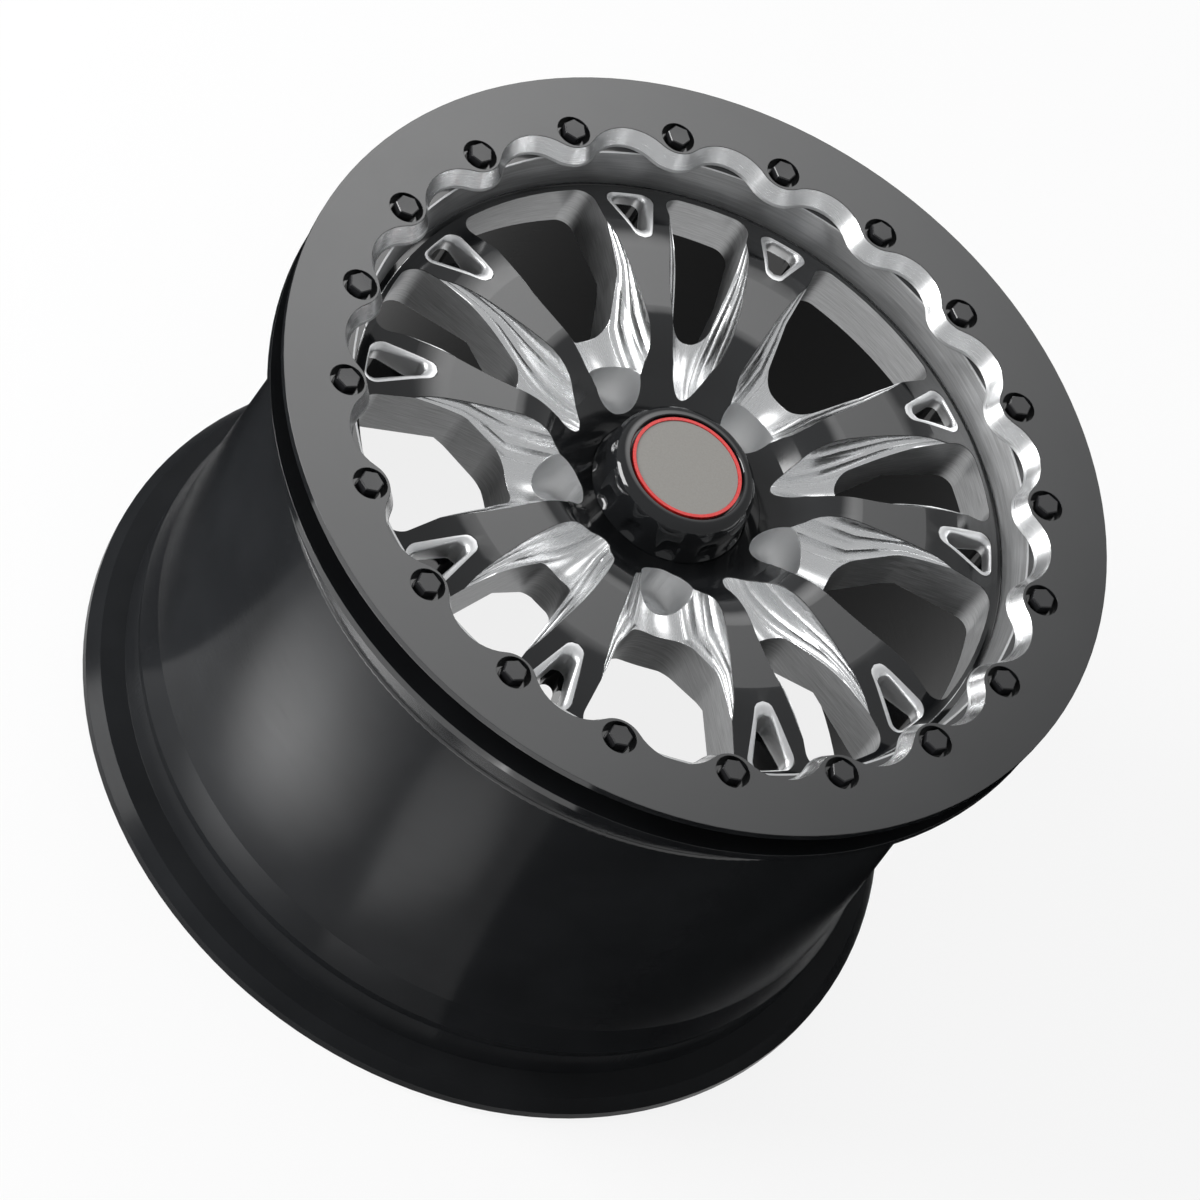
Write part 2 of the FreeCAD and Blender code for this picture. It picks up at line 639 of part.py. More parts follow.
def wheel_centre():
    """Machined centre: hub, ten spokes between wide and narrow windows, and the outer band."""
    top = from_street("centre_top_drop")
    back = from_street("centre_back_drop")
    flat = from_street("hub_flat_drop")
    seat_floor = flat - size["cap_seat_depth"]
    body = revolved(
        "wheel_centre_blank",
        [
            (size["centre_r"], top),
            (size["face_band_r"], top),
            (size["face_band_r"], from_street("face_band_drop")),
            (size["face_shoulder_r"], from_street("face_crown_drop"), size["face_shoulder_round"]),
            (size["face_knee_r"], from_street("face_knee_drop"), size["face_knee_round"]),
            (size["hub_edge_r"], from_street("hub_edge_drop")),
            (size["hub_cone_r"], flat),
            (size["cap_seat_r"], flat),
            (size["cap_seat_r"], seat_floor),
            (size["hub_bore_r"], seat_floor),
            (size["hub_bore_r"], size["pad_backspace"]),
            (size["pad_r"], size["pad_backspace"]),
            (size["back_hub_r"], from_street("back_hub_drop")),
            (size["back_arch_r"], from_street("back_arch_drop")),
            (size["back_rim_r"], back),
            (size["centre_r"], back),
        ],
    )
    pairs = size["window_pairs"]
    high = size["wheel_height"]
    toward_wide = ZERO
    toward_narrow = as_size(FULL_TURN / 2) / pairs

    wide = [
        (size["wide_rim_half"], -size["window_rim_y"], size["window_corner_r"]),
        (size["wide_knee_half"], -size["wide_knee_y"], size["wide_knee_round"]),
        (size["wide_hub_half"], -size["wide_hub_y"], size["wide_hub_round"]),
    ]
    narrow = [
        (size["narrow_rim_half"], -size["window_rim_y"], size["window_corner_r"]),
        (size["narrow_hub_half"], -size["narrow_hub_y"], size["narrow_hub_round"]),
    ]
    for name, half, turn in (("wide", wide, toward_wide), ("narrow", narrow, toward_narrow)):
        sketch = new_sketch(body, f"{name}_window", "XY_Plane", high, turn)
        outline(sketch, half + mirrored(half), rim=size["window_wall_r"])
        cut_all_round(body, f"{name}_windows", sketch, pairs)

    pocket = [
        (size["pocket_side_half"], -size["pocket_side_y"], size["pocket_corner_r"]),
        (ZERO, -size["pocket_apex_y"], size["pocket_apex_round"]),
    ]
    hole_half = size["pocket_side_half"] - size["hole_side_ledge"]
    hole = [
        (hole_half, -size["pocket_side_y"], size["hole_corner_r"]),
        (ZERO, -size["hole_apex_y"], size["hole_apex_round"]),
    ]
    depth = size["pocket_floor_drop"]
    for name, turn in (
        ("left", -size["pocket_angle"]),
        ("right", size["pocket_angle"]),
    ):
        sketch = new_sketch(body, f"{name}_spoke_pocket", "XY_Plane", high, turn)
        outline(sketch, pocket + mirrored(pocket[:1]), rim=size["pocket_end_r"])
        cut_all_round(body, f"{name}_spoke_pockets", sketch, pairs, depth)
        sketch = new_sketch(body, f"{name}_spoke_hole", "XY_Plane", high, turn)
        outline(sketch, hole + mirrored(hole[:1]), rim=size["pocket_end_r"] - size["pocket_ledge"])
        cut_all_round(body, f"{name}_spoke_holes", sketch, pairs)

    lug_y = size["lug_circle_d"] / 2
    seat = size["pad_backspace"] + size["lug_seat_height"]
    for name, radius, depth in (
        ("lug_pocket", size["lug_pocket_r"], high - seat),
        ("lug_hole", size["lug_hole_r"], None),
    ):
        sketch = new_sketch(body, f"{name}_circle", "XY_Plane", high, toward_wide)
        add_circle(sketch, radius, lug_y)
        cut_all_round(body, f"{name}s", sketch, pairs, depth)

    cutters = []
    for kind, turn in (("wide", toward_wide), ("narrow", toward_narrow)):
        for step in range(int(pairs.value)):
            cutter = scoop(kind)
            angle = turn.value + FULL_TURN * step / pairs.value
            cutter.rotate(Vector(0, 0, 0), Vector(0, 0, 1), angle)
            cutters.append(cutter)
    tool = doc.addObject("Part::Feature", "window_scoops")
    tool.Shape = Part.makeCompound(cutters)
    return cut("wheel_centre", body, tool)


def mirrored(half):
    """The corners of an outline's other half, in the order that closes it."""
    return [(-corner[0], *corner[1:]) for corner in reversed(half)]


def centre_cap():
    """Cap pressed into the hub's bore, with finger scallops and a recess for the badge."""
    skirt_r = size["cap_seat_r"] - size["cap_fit"]
    flat = from_street("hub_flat_drop")
    top = from_street("cap_top_drop")
    floor = top - size["cap_recess_depth"]
    foot = flat - size["cap_skirt"]
    body = revolved(
        "centre_cap_blank",
        [
            (ZERO, floor),
            (size["cap_recess_r"], floor),
            (size["cap_recess_r"], top),
            (size["cap_top_r"], top),
            (size["cap_shoulder_r"], from_street("cap_shoulder_drop")),
            (skirt_r, flat),
            (skirt_r, foot),
            (skirt_r - size["cap_wall"], foot),
            (skirt_r - size["cap_wall"], floor - size["cap_crown"]),
            (ZERO, floor - size["cap_crown"]),
        ],
    )
    shoulder = from_street("cap_shoulder_drop").value
    base = (flat + size["cap_base"]).value
    out_at_top = size["cap_shoulder_r"].value
    slope = (skirt_r.value - out_at_top) / (shoulder - flat.value)
    offset = size["cap_scallop_r"].value - size["cap_scallop_bite"].value
    high = Vector(0, -(out_at_top + offset), shoulder)
    low = Vector(0, -(out_at_top + offset + slope * (shoulder - base)), base)
    cutters = []
    count = int(size["cap_scallops"].value)
    for step in range(count):
        cutter = Part.makeCylinder(size["cap_scallop_r"].value, (low - high).Length, high, low - high)
        cutter.rotate(Vector(0, 0, 0), Vector(0, 0, 1), FULL_TURN * step / count)
        cutters.append(cutter)
    tool = doc.addObject("Part::Feature", "cap_scallop_cutters")
    tool.Shape = Part.makeCompound(cutters)
    return cut("centre_cap", body, tool)


def cap_badge():
    """Plain disc in the cap's recess."""
    floor = from_street("cap_top_drop") - size["cap_recess_depth"]
    top = floor + size["badge_thickness"]
    return revolved(
        "cap_badge", [(ZERO, floor), (size["badge_r"], floor), (size["badge_r"], top), (ZERO, top)]
    )


def cap_ring():
    """Coloured ring round the badge."""
    floor = from_street("cap_top_drop") - size["cap_recess_depth"]
    top = floor + size["accent_thickness"]
    inner = size["badge_r"] + size["accent_fit"]
    outer = inner + size["accent_wall"]
    return revolved("cap_ring", [(inner, floor), (outer, floor), (outer, top), (inner, top)])


def at_valve(body):
    """Turns a body drawn towards +X to the valve's place."""
    angle = size["valve_angle"]
    body.Placement.Rotation = FreeCAD.Rotation(angle.value, 0, 0)
    body.setExpression(".Placement.Rotation.Yaw", angle.text)
    doc.recompute()
    return body


def valve_turned(label, corners):
    """A body turned about the valve's axis; corners are (depth inward from the seat, radius)."""
    body = new_body(label)
    sketch = new_sketch(body, f"{label}_section", "XZ_Plane")
    sketch.AttachmentOffset.Base = Vector(0, size["valve_z"].value, 0)
    sketch.setExpression(".AttachmentOffset.Base.y", size["valve_z"].text)
    outline(sketch, [(size["valve_seat_r"] - depth, radius) for depth, radius in corners])
    turned = body.newObject("PartDesign::Revolution", f"{label}_turning")
    turned.Profile = sketch
    turned.ReferenceAxis = (sketch, ["H_Axis"])
    turned.Angle = FULL_TURN
    doc.recompute()
    return at_valve(body)


def drilled_barrel():
    """The barrel with the valve's hole and the flats that its head and nut sit on."""
    reach = size["valve_spot_reach"]
    wall = size["valve_seat_wall"]
    drill = valve_turned(
        "valve_drill",
        [
            (-reach, ZERO),
            (-reach, size["valve_spot_r"]),
            (ZERO, size["valve_spot_r"]),
            (ZERO, size["valve_hole_r"]),
            (wall, size["valve_hole_r"]),
            (wall, size["valve_spot_r"]),
            (wall + reach, size["valve_spot_r"]),
            (wall + reach, ZERO),
        ],
    )
    return cut("barrel", barrel(), drill)


def valve_stem():
    """Bolt-in valve stem, its head on the tyre side of the barrel."""
    stem_r = size["valve_hole_r"] - size["valve_fit"]
    return valve_turned(
        "valve_stem",
        [
            (-size["valve_head_thickness"], ZERO),
            (-size["valve_head_thickness"], size["valve_head_r"]),
            (ZERO, size["valve_head_r"]),
            (ZERO, stem_r),
            (size["valve_stem_length"], stem_r),
            (size["valve_stem_length"], ZERO),
        ],
    )


def valve_nut():
    """Hexagon nut that clamps the valve stem to the barrel."""
    body = new_body("valve_nut")
    sketch = new_sketch(body, "valve_nut_section", "YZ_Plane")
    seat = size["valve_seat_r"] - size["valve_seat_wall"]
    sketch.AttachmentOffset.Base = Vector(0, size["valve_z"].value, seat.value)
    sketch.setExpression(".AttachmentOffset.Base.y", size["valve_z"].text)
    sketch.setExpression(".AttachmentOffset.Base.z", seat.text)
    corner_r = size["valve_nut_af"] / math.sqrt(3)
    corners = [math.radians(FULL_TURN / HEXAGON * step) for step in range(HEXAGON)]
    outline(sketch, [(corner_r * math.cos(turn), corner_r * math.sin(turn)) for turn in corners])
    add_circle(sketch, size["valve_hole_r"], ZERO)
    pad = body.newObject("PartDesign::Pad", "valve_nut_pad")
    pad.Profile = sketch
    pad.Length = size["valve_nut_thickness"].value
    pad.setExpression("Length", size["valve_nut_thickness"].text)
    pad.Reversed = True
    doc.recompute()
    return at_valve(body)


def valve_cap():
    """Dust cap on the end of the stem."""
    bore_r = size["valve_hole_r"]
    outer_r = bore_r + size["valve_cap_wall"]
    end = size["valve_stem_length"]
    mouth = end - size["valve_cap_grip"]
    return valve_turned(
        "valve_cap",
        [
            (mouth, bore_r),
            (mouth, outer_r),
            (end + size["valve_cap_wall"], outer_r),
            (end + size["valve_cap_wall"], ZERO),
            (end, ZERO),
            (end, bore_r),
        ],
    )


pieces = [
    clamp_ring(),
    clamp_bolts(),
    inner_bead_ring(),
    drilled_barrel(),
    wheel_centre(),
    centre_cap(),
    cap_badge(),
    cap_ring(),
    valve_stem(),
    valve_nut(),
    valve_cap(),
]

doc.recompute()
for item in doc.Objects:
    if "Invalid" in item.State or "Error" in item.State:
        raise RuntimeError(f"{item.Label} failed: {item.State}")
for piece in pieces:
    if piece.Shape.isNull() or not piece.Shape.isValid():
        raise RuntimeError(f"{piece.Label} has no valid shape")

os.makedirs("parts", exist_ok=True)
for piece in pieces:
    piece.Shape.exportStep(f"parts/{piece.Label}.step")
    box = piece.Shape.BoundBox
    heights = f"z {box.ZMin:.2f} to {box.ZMax:.2f}"
    print(f"{piece.Label}: {len(piece.Shape.Solids)} solids, {piece.Shape.Volume:.0f} mm3, {heights}")
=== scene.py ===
import bpy
import math
from mathutils import Matrix, Vector


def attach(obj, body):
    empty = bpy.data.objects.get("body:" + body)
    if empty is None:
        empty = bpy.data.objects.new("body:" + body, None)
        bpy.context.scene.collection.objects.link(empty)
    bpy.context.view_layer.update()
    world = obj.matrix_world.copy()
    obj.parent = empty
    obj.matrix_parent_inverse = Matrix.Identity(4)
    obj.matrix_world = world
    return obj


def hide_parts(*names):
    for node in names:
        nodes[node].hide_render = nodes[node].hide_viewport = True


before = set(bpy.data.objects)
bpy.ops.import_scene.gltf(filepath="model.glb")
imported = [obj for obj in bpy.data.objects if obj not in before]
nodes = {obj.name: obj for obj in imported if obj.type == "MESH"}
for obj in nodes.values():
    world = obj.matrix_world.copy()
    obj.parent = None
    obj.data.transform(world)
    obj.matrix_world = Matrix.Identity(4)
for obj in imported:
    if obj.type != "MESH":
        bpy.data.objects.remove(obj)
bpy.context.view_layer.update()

# Looks of a deep black drag-race wheel with a bolted bead-clamping ring. Metres, in the frame
# of the solids: +Z is the wheel's axis towards the street side, and it stands on its inboard
# flange.

MM = 0.001

# Sizes of the solids that the materials and the added pieces follow.
HEIGHT = 269.0 * MM
BOLTS = 20
PAIRS = 5
BOLT_CIRCLE_R = 173.9 * MM
COUNTERBORE_R = 8.2 * MM
COUNTERBORE_FLOOR = HEIGHT - 4.4 * MM
POCKET_ANGLE = math.radians(20.9)


def drop(distance):
    """Height of a place that many millimetres below the street face of the clamp ring."""
    return HEIGHT - distance * MM


# Camera at the photograph's viewing angle.
CAMERA_PLACE = Vector((-0.7721, -1.6899, 2.3598))
CAMERA_RIGHT = Vector((0.9200, 0.0820, 0.3832))
CAMERA_UP = Vector((-0.2861, 0.8087, 0.5140))
CAMERA_LENS = 184.05


def add_camera():
    """The photograph's camera, its roll included."""
    data = bpy.data.cameras.new("photo_camera")
    data.lens = CAMERA_LENS
    data.sensor_width = 36.0
    camera = bpy.data.objects.new("photo_camera", data)
    bpy.context.scene.collection.objects.link(camera)
    right = CAMERA_RIGHT.normalized()
    back = right.cross(CAMERA_UP).normalized()
    up = back.cross(right)
    turn = Matrix((right, up, back)).transposed().to_4x4()
    camera.matrix_world = Matrix.Translation(CAMERA_PLACE) @ turn
    bpy.context.scene.camera = camera


class Finish:
    """A node material, with short ways to add nodes to it."""

    def __init__(self, name):
        self.material = bpy.data.materials.new(name)
        self.material.use_nodes = True
        self.tree = self.material.node_tree
        self.shader = self.tree.nodes["Principled BSDF"]
        coordinates = self.node("ShaderNodeTexCoord")
        self.place = coordinates.outputs["Object"]
        split = self.node("ShaderNodeSeparateXYZ", {0: self.place})
        self.x, self.y, self.z = split.outputs
        flat = self.vector("MULTIPLY", self.place, (1, 1, 0))
        self.radius = self.node("ShaderNodeVectorMath", {0: flat}, operation="LENGTH").outputs["Value"]
        self.angle = self.math("ARCTAN2", self.y, self.x)

    def node(self, kind, inputs=None, **settings):
        """Adds a node, with its settings, and values or links for its inputs."""
        made = self.tree.nodes.new(kind)
        for name, value in settings.items():
            setattr(made, name, value)
        for key, value in (inputs or {}).items():
            self.put(made.inputs[key], value)
        return made

    def put(self, socket, value):
        """Links an output to a socket, or sets the socket's own value."""
        if isinstance(value, bpy.types.NodeSocket):
            self.tree.links.new(value, socket)
        else:
            socket.default_value = value

    def set(self, **values):
        """Sets the shader's own values; a name's underscores stand for spaces."""
        for name, value in values.items():
            self.put(self.shader.inputs[name.replace("_", " ")], value)

    def math(self, operation, *values):
        """A Math node's result."""
        return self.node("ShaderNodeMath", dict(enumerate(values)), operation=operation).outputs[0]

    def vector(self, operation, *values):
        """A Vector Math node's vector."""
        return self.node("ShaderNodeVectorMath", dict(enumerate(values)), operation=operation).outputs[0]

    def step(self, value, edge, blur=0.15 * MM):
        """0 below an edge and 1 above it, with a soft step of blur."""
        return self.node(
            "ShaderNodeMapRange",
            {"Value": value, "From Min": edge - blur, "From Max": edge + blur},
            clamp=True,
        ).outputs[0]

    def all_of(self, *masks):
        """Where every mask is 1."""
        product = masks[0]
        for mask in masks[1:]:
            product = self.math("MULTIPLY", product, mask)
        return product

    def any_of(self, *masks):
        """Where one of the masks is 1."""
        highest = masks[0]
        for mask in masks[1:]:
            highest = self.math("MAXIMUM", highest, mask)
        return highest

    def no(self, mask):
        """The mask turned round."""
        return self.math("SUBTRACT", 1.0, mask)

    def noise(self, scale, detail=2.0, stretch=(1, 1, 1)):
        """Noise over the object's own coordinates."""
        return self.noise_at(self.vector("MULTIPLY", self.place, stretch), scale, detail)

    def noise_at(self, place, scale, detail=2.0, rough=0.5):
        """Noise over coordinates of its own."""
        return self.node(
            "ShaderNodeTexNoise",
            {"Vector": place, "Scale": scale, "Detail": detail, "Roughness": rough},
        ).outputs[0]

    def spread(self, value, low, high, from_low=0.3, from_high=0.7):
        """Maps a noise's usual range to low and high."""
        return self.node(
            "ShaderNodeMapRange",
            {"Value": value, "From Min": from_low, "From Max": from_high, "To Min": low, "To Max": high},
            clamp=True,
        ).outputs[0]

    def mix(self, mask, low, high):
        """A number or link that goes from low to high with the mask."""
        return self.node("ShaderNodeMix", {0: mask, 2: low, 3: high}, data_type="FLOAT").outputs[0]

    def mix_colour(self, mask, low, high):
        """A colour that goes from low to high with the mask."""
        low, high = [c if isinstance(c, bpy.types.NodeSocket) else (*c, 1.0) for c in (low, high)]
        return self.node("ShaderNodeMix", {0: mask, 6: low, 7: high}, data_type="RGBA").outputs[2]

    def round_axis(self, turn, radius, height):
        """Angle, radius and height as coordinates, each stretched by its own factor."""
        parts = zip((self.angle, self.radius, self.z), (turn, radius, height))
        stretched = [self.math("MULTIPLY", part, factor) for part, factor in parts]
        return self.node("ShaderNodeCombineXYZ", dict(enumerate(stretched))).outputs[0]

    def curve(self, value, span, points, high):
        """A length looked up between points of (length, result), which are in millimetres.

        span and high are the largest length and result, in millimetres.
        """
        share = self.math("DIVIDE", value, span * MM)
        made = self.node("ShaderNodeFloatCurve", {"Value": share})
        line = made.mapping.curves[0]
        places = [(x / span, y / high) for x, y in points]
        line.points[0].location = (0.0, places[0][1])
        line.points[1].location = (1.0, places[-1][1])
        for place in places:
            line.points.new(*place)
        for point in line.points:
            point.handle_type = "VECTOR"
        made.mapping.update()
        return self.math("MULTIPLY", made.outputs[0], high * MM)

    def wear(self, height, strength, distance, edge=0.35 * MM):
        """Bumps the surface by a height and rounds its edges."""
        edges = self.node("ShaderNodeBevel", {"Radius": edge}, samples=4)
        bump = self.node(
            "ShaderNodeBump",
            {"Strength": strength, "Distance": distance, "Height": height, "Normal": edges.outputs[0]},
        )
        self.put(self.shader.inputs["Normal"], bump.outputs[0])


# Materials.
BLACK = (0.0085, 0.009, 0.0098)
BARE = (0.9, 0.905, 0.91)
SATIN = (0.6, 0.605, 0.61)
PALE_SATIN = (0.9, 0.905, 0.91)
COAT_IOR = 1.6
MARK_DEPTH = 0.02 * MM
FINE_MARK_DEPTH = 0.0045 * MM


def lathe_marks(finish, scale=2200.0, turns=0.004):
    """Fine rings left by turning."""
    return finish.noise_at(finish.round_axis(turns, 1, 1), scale, 3.0, 0.6)


def black_tone(finish, colour=BLACK):
    """Colour of the black coat, a little uneven."""
    tone = finish.spread(finish.noise(18.0, 3.0), 0.0, 1.0)
    return finish.mix_colour(tone, colour, tuple(c * 1.5 for c in colour))


def gloss_black(name, colour=BLACK, rough=(0.07, 0.13), marks=0.2, ior=COAT_IOR):
    """Gloss black coat over turned metal."""
    finish = Finish(name)
    finish.set(
        Base_Color=black_tone(finish, colour),
        Roughness=finish.spread(finish.noise(35.0, 3.0), *rough),
        IOR=ior,
    )
    finish.wear(lathe_marks(finish), marks, MARK_DEPTH)
    return finish.material


KNURL_TEETH = 420.0
KNURL_BAND = (22.6 * MM, 27.4 * MM)
KNURL_MIN_R = 187.5 * MM
BARREL_MARK_DEPTH = 0.05 * MM
RIPPLE_SCALE = 420.0
RIPPLE_SHARE = 1.5


def turned_black(name):
    """Black coat of the barrel: its turning marks draw out the lights, and its seat is knurled."""
    finish = Finish(name)
    rings = lathe_marks(finish)
    finish.set(
        Base_Color=black_tone(finish),
        Roughness=finish.spread(rings, 0.18, 0.26),
        IOR=1.15,
        Anisotropic=0.6,
        Anisotropic_Rotation=0.25,
    )
    tangent = finish.node("ShaderNodeTangent", direction_type="RADIAL", axis="Z")
    finish.put(finish.shader.inputs["Tangent"], tangent.outputs[0])
    teeth = finish.math("SINE", finish.math("MULTIPLY", finish.angle, KNURL_TEETH))
    band = finish.all_of(
        finish.step(finish.z, KNURL_BAND[0]),
        finish.no(finish.step(finish.z, KNURL_BAND[1])),
        finish.step(finish.radius, KNURL_MIN_R),
    )
    ripple = finish.noise_at(finish.round_axis(0.002, 1, 1), RIPPLE_SCALE)
    rings = finish.math("ADD", rings, finish.math("MULTIPLY", ripple, RIPPLE_SHARE))
    knurl = finish.math("MULTIPLY", band, teeth)
    finish.wear(finish.math("ADD", rings, knurl), 0.35, BARREL_MARK_DEPTH)
    return finish.material


def three_finishes(name, coat, satin, streaks, satin_lines, relief=None, pale=None):
    """Black where coat is 1, brushed grey where satin is 1, and bright milled metal elsewhere.

    relief adds to the surface's height, and pale marks the lighter part of the brushed grey.
    """
    finish = Finish(name)
    coated, satined = coat(finish), satin(finish)
    streak, lines = streaks(finish), satin_lines(finish)
    bare = finish.mix_colour(finish.spread(streak, 0, 1), tuple(c * 0.96 for c in BARE), BARE)
    if pale:
        lines = finish.mix(pale(finish), lines, finish.spread(lines, 0.44, 0.56))
    dull, bright = [tuple(c * share for c in SATIN) for share in (0.6, 1.1)]
    grey = finish.mix_colour(finish.spread(lines, 0, 1), dull, bright)
    if pale:
        grey = finish.mix_colour(pale(finish), grey, PALE_SATIN)
    metal = finish.mix_colour(satined, bare, grey)
    polish = finish.mix(satined, finish.spread(streak, 0.24, 0.29), finish.spread(lines, 0.4, 0.55))
    coat_rough = finish.spread(finish.noise(35.0, 3.0), 0.07, 0.13)
    finish.set(
        Base_Color=finish.mix_colour(coated, metal, black_tone(finish)),
        Metallic=finish.no(coated),
        Roughness=finish.mix(coated, polish, coat_rough),
        IOR=COAT_IOR,
    )
    faint = finish.spread(streak, 0.0, 0.14)
    marks = finish.mix(coated, finish.mix(satined, faint, lines), lathe_marks(finish))
    height = finish.math("MULTIPLY", marks, FINE_MARK_DEPTH)
    if relief:
        height = finish.math("ADD", height, relief(finish, finish.no(finish.any_of(coated, satined))))
    finish.wear(height, 1.0, 1.0)
    return finish.material


def along_spokes(finish):
    """Fine streaks along the spokes."""
    return finish.noise_at(finish.round_axis(0.1, 0.05, 0.6), 1500.0, 3.0, 0.6)


def level_lines(finish):
    """Fine lines at one height, as a milling cutter leaves on an upright wall."""
    return finish.noise_at(finish.vector("MULTIPLY", finish.place, (0.03, 0.03, 1)), 2600.0, 3.0, 0.65)


def faint_lines(finish):
    """The same lines, as a finer cutter leaves them."""
    return finish.spread(level_lines(finish), 0.4, 0.6)


def folded_angle(finish, count, offset=0.0):
    """Angle from the nearest of count equal places round the axis, the first at -Y plus offset."""
    pitch = 2 * math.pi / count
    turned = finish.math("ADD", finish.angle, math.pi / 2 - offset + pitch / 2 + 2 * math.pi)
    wrapped = finish.math("MODULO", turned, pitch)
    return finish.math("SUBTRACT", wrapped, pitch / 2)


def beside(finish, count, offset=0.0):
    """Sideways distance from, and distance along, the nearest of count spokes of a star."""
    turn = folded_angle(finish, count, offset)
    side = finish.math("MULTIPLY", finish.radius, finish.math("SINE", turn))
    along = finish.math("MULTIPLY", finish.radius, finish.math("COSINE", turn))
    return finish.math("ABSOLUTE", side), along


# Face of the wheel centre, as in the solids: radius, drop, and radius of the rounding there, in
# millimetres.
FACE = [
    (39.0, 41.0, 0.0),
    (45.3, 41.0, 0.0),
    (57.4, 32.6, 0.0),
    (74.0, 16.0, 30.0),
    (128.0, 16.6, 60.0),
    (160.6, 27.0, 0.0),
    (160.7, 29.6, 0.0),
    (172.3, 29.6, 0.0),
]
FACE_SPAN = 180.0
DROP_SPAN = 60.0
ROUNDING_STEPS = 5


def face_points():
    """The face's section as points, with its roundings as short arcs."""
    points = []
    for i, (radius, depth, rounding) in enumerate(FACE):
        here = Vector((radius, depth))
        if not rounding:
            points.append(here)
            continue
        back = (Vector(FACE[i - 1][:2]) - here).normalized()
        on = (Vector(FACE[i + 1][:2]) - here).normalized()
        half = back.angle(on) / 2
        run = rounding / math.tan(half)
        start, end = here + back * run, here + on * run
        centre = here + (back + on).normalized() * (rounding / math.sin(half))
        for step in range(ROUNDING_STEPS + 1):
            chord = start.lerp(end, step / ROUNDING_STEPS)
            points.append(centre + (chord - centre).normalized() * rounding)
    return points


def face_height(finish):
    """Height of the wheel centre's face at a radius, from its section."""
    section = [(point.x, point.y) for point in face_points()]
    return finish.math("SUBTRACT", HEIGHT, finish.curve(finish.radius, FACE_SPAN, section, DROP_SPAN))


# Half-widths of the scoops at the face, and of the windows, at distances from the axis, all in
# millimetres.
SCOOPS = {
    "wide": (
        [(38.0, 21.6), (62.0, 21.6), (84.0, 26.6), (107.0, 32.0), (126.0, 34.9), (149.0, 37.6)],
        [(38.0, 0.5), (62.0, 9.0), (84.0, 12.0), (107.0, 24.2), (126.0, 29.9), (149.0, 36.8)],
    ),
    "narrow": (
        [(38.0, 12.4), (62.0, 12.4), (85.0, 18.0), (107.0, 21.1), (126.0, 22.3), (149.0, 22.6)],
        [(38.0, 0.5), (62.0, 3.0), (85.0, 7.6), (107.0, 12.6), (126.0, 16.6), (149.0, 21.2)],
    ),
}
HALF_SPAN = 60.0

# Flutes in each scoop, and how deep they are as a share of their width.
FLUTES = 3
FLUTE_DEPTH = 0.2
HUB_SLOPE_R = 45.4 * MM
HUB_SLOPE = 0.62


def centre_relief(finish, bare):
    """Flutes in the bare metal beside the windows, and the slope of the hub round the cap."""
    total = 0.0
    for kind, offset in (("wide", 0.0), ("narrow", math.pi / PAIRS)):
        side, along = beside(finish, PAIRS, offset)
        outer = finish.curve(along, FACE_SPAN, SCOOPS[kind][0], HALF_SPAN)
        inner = finish.curve(along, FACE_SPAN, SCOOPS[kind][1], HALF_SPAN)
        width = finish.math("SUBTRACT", outer, inner)
        share = finish.math("DIVIDE", finish.math("SUBTRACT", side, inner), width)
        within = finish.all_of(finish.step(share, -0.02, 0.02), finish.no(finish.step(share, 1.0, 0.02)))
        place = finish.math("FRACT", finish.math("MULTIPLY", share, float(FLUTES)))
        dip = finish.math("MULTIPLY", place, finish.no(place))
        depth = finish.math("MULTIPLY", width, -4.0 * FLUTE_DEPTH / FLUTES)
        total = finish.math("ADD", total, finish.all_of(dip, depth, within))
    slope = finish.math("MULTIPLY", finish.math("MINIMUM", finish.radius, HUB_SLOPE_R), HUB_SLOPE)
    return finish.math("ADD", finish.all_of(total, bare), slope)


BORE_R = 40.5 * MM
FACE_SKIN = 0.35 * MM

# Pockets in the spoke ends: their inner and outer radii, half-widths and floor.
SPOKE_END = (110 * MM, 157.6 * MM)
POCKET_HALF = 13.2 * MM
HOLE_HALF = 9.6 * MM
POCKET_FLOOR = drop(33.3)

LUG_CIRCLE_R = 57.15 * MM
LUG_POCKET_R = 12.95 * MM


def upward(finish):
    """How far a surface faces up, from -1 to 1."""
    normal = finish.node("ShaderNodeNewGeometry").outputs["True Normal"]
    return finish.node("ShaderNodeSeparateXYZ", {0: normal}).outputs[2]


def centre_coat(finish):
    """Black parts of the wheel centre: the face, the hub, the back and the spoke ends' holes."""
    below = finish.math("SUBTRACT", face_height(finish), finish.z)
    face = finish.no(finish.step(below, FACE_SKIN, 0.08 * MM))
    back = finish.no(finish.step(upward(finish), -0.2, 0.05))
    bore = finish.no(finish.step(finish.radius, BORE_R))
    holes = finish.all_of(spoke_ends(finish, HOLE_HALF), finish.no(finish.step(finish.z, POCKET_FLOOR)))
    return finish.any_of(face, back, bore, holes)


def spoke_ends(finish, half):
    """Bands along the middles of the pockets in the spoke ends."""
    sides = [beside(finish, PAIRS, offset)[0] for offset in (-POCKET_ANGLE, POCKET_ANGLE)]
    return finish.all_of(
        finish.any_of(*[finish.no(finish.step(side, half)) for side in sides]),
        finish.step(finish.radius, SPOKE_END[0]),
        finish.no(finish.step(finish.radius, SPOKE_END[1])),
    )


def centre_satin(finish):
    """Brushed grey parts of the wheel centre: the windows' walls and the lug pockets."""
    wall = finish.no(finish.step(finish.math("ABSOLUTE", upward(finish)), 0.12, 0.04))
    pocket = finish.all_of(spoke_ends(finish, POCKET_HALF), finish.step(finish.z, POCKET_FLOOR))
    return finish.any_of(finish.all_of(wall, finish.no(pocket)), lug_pockets(finish))


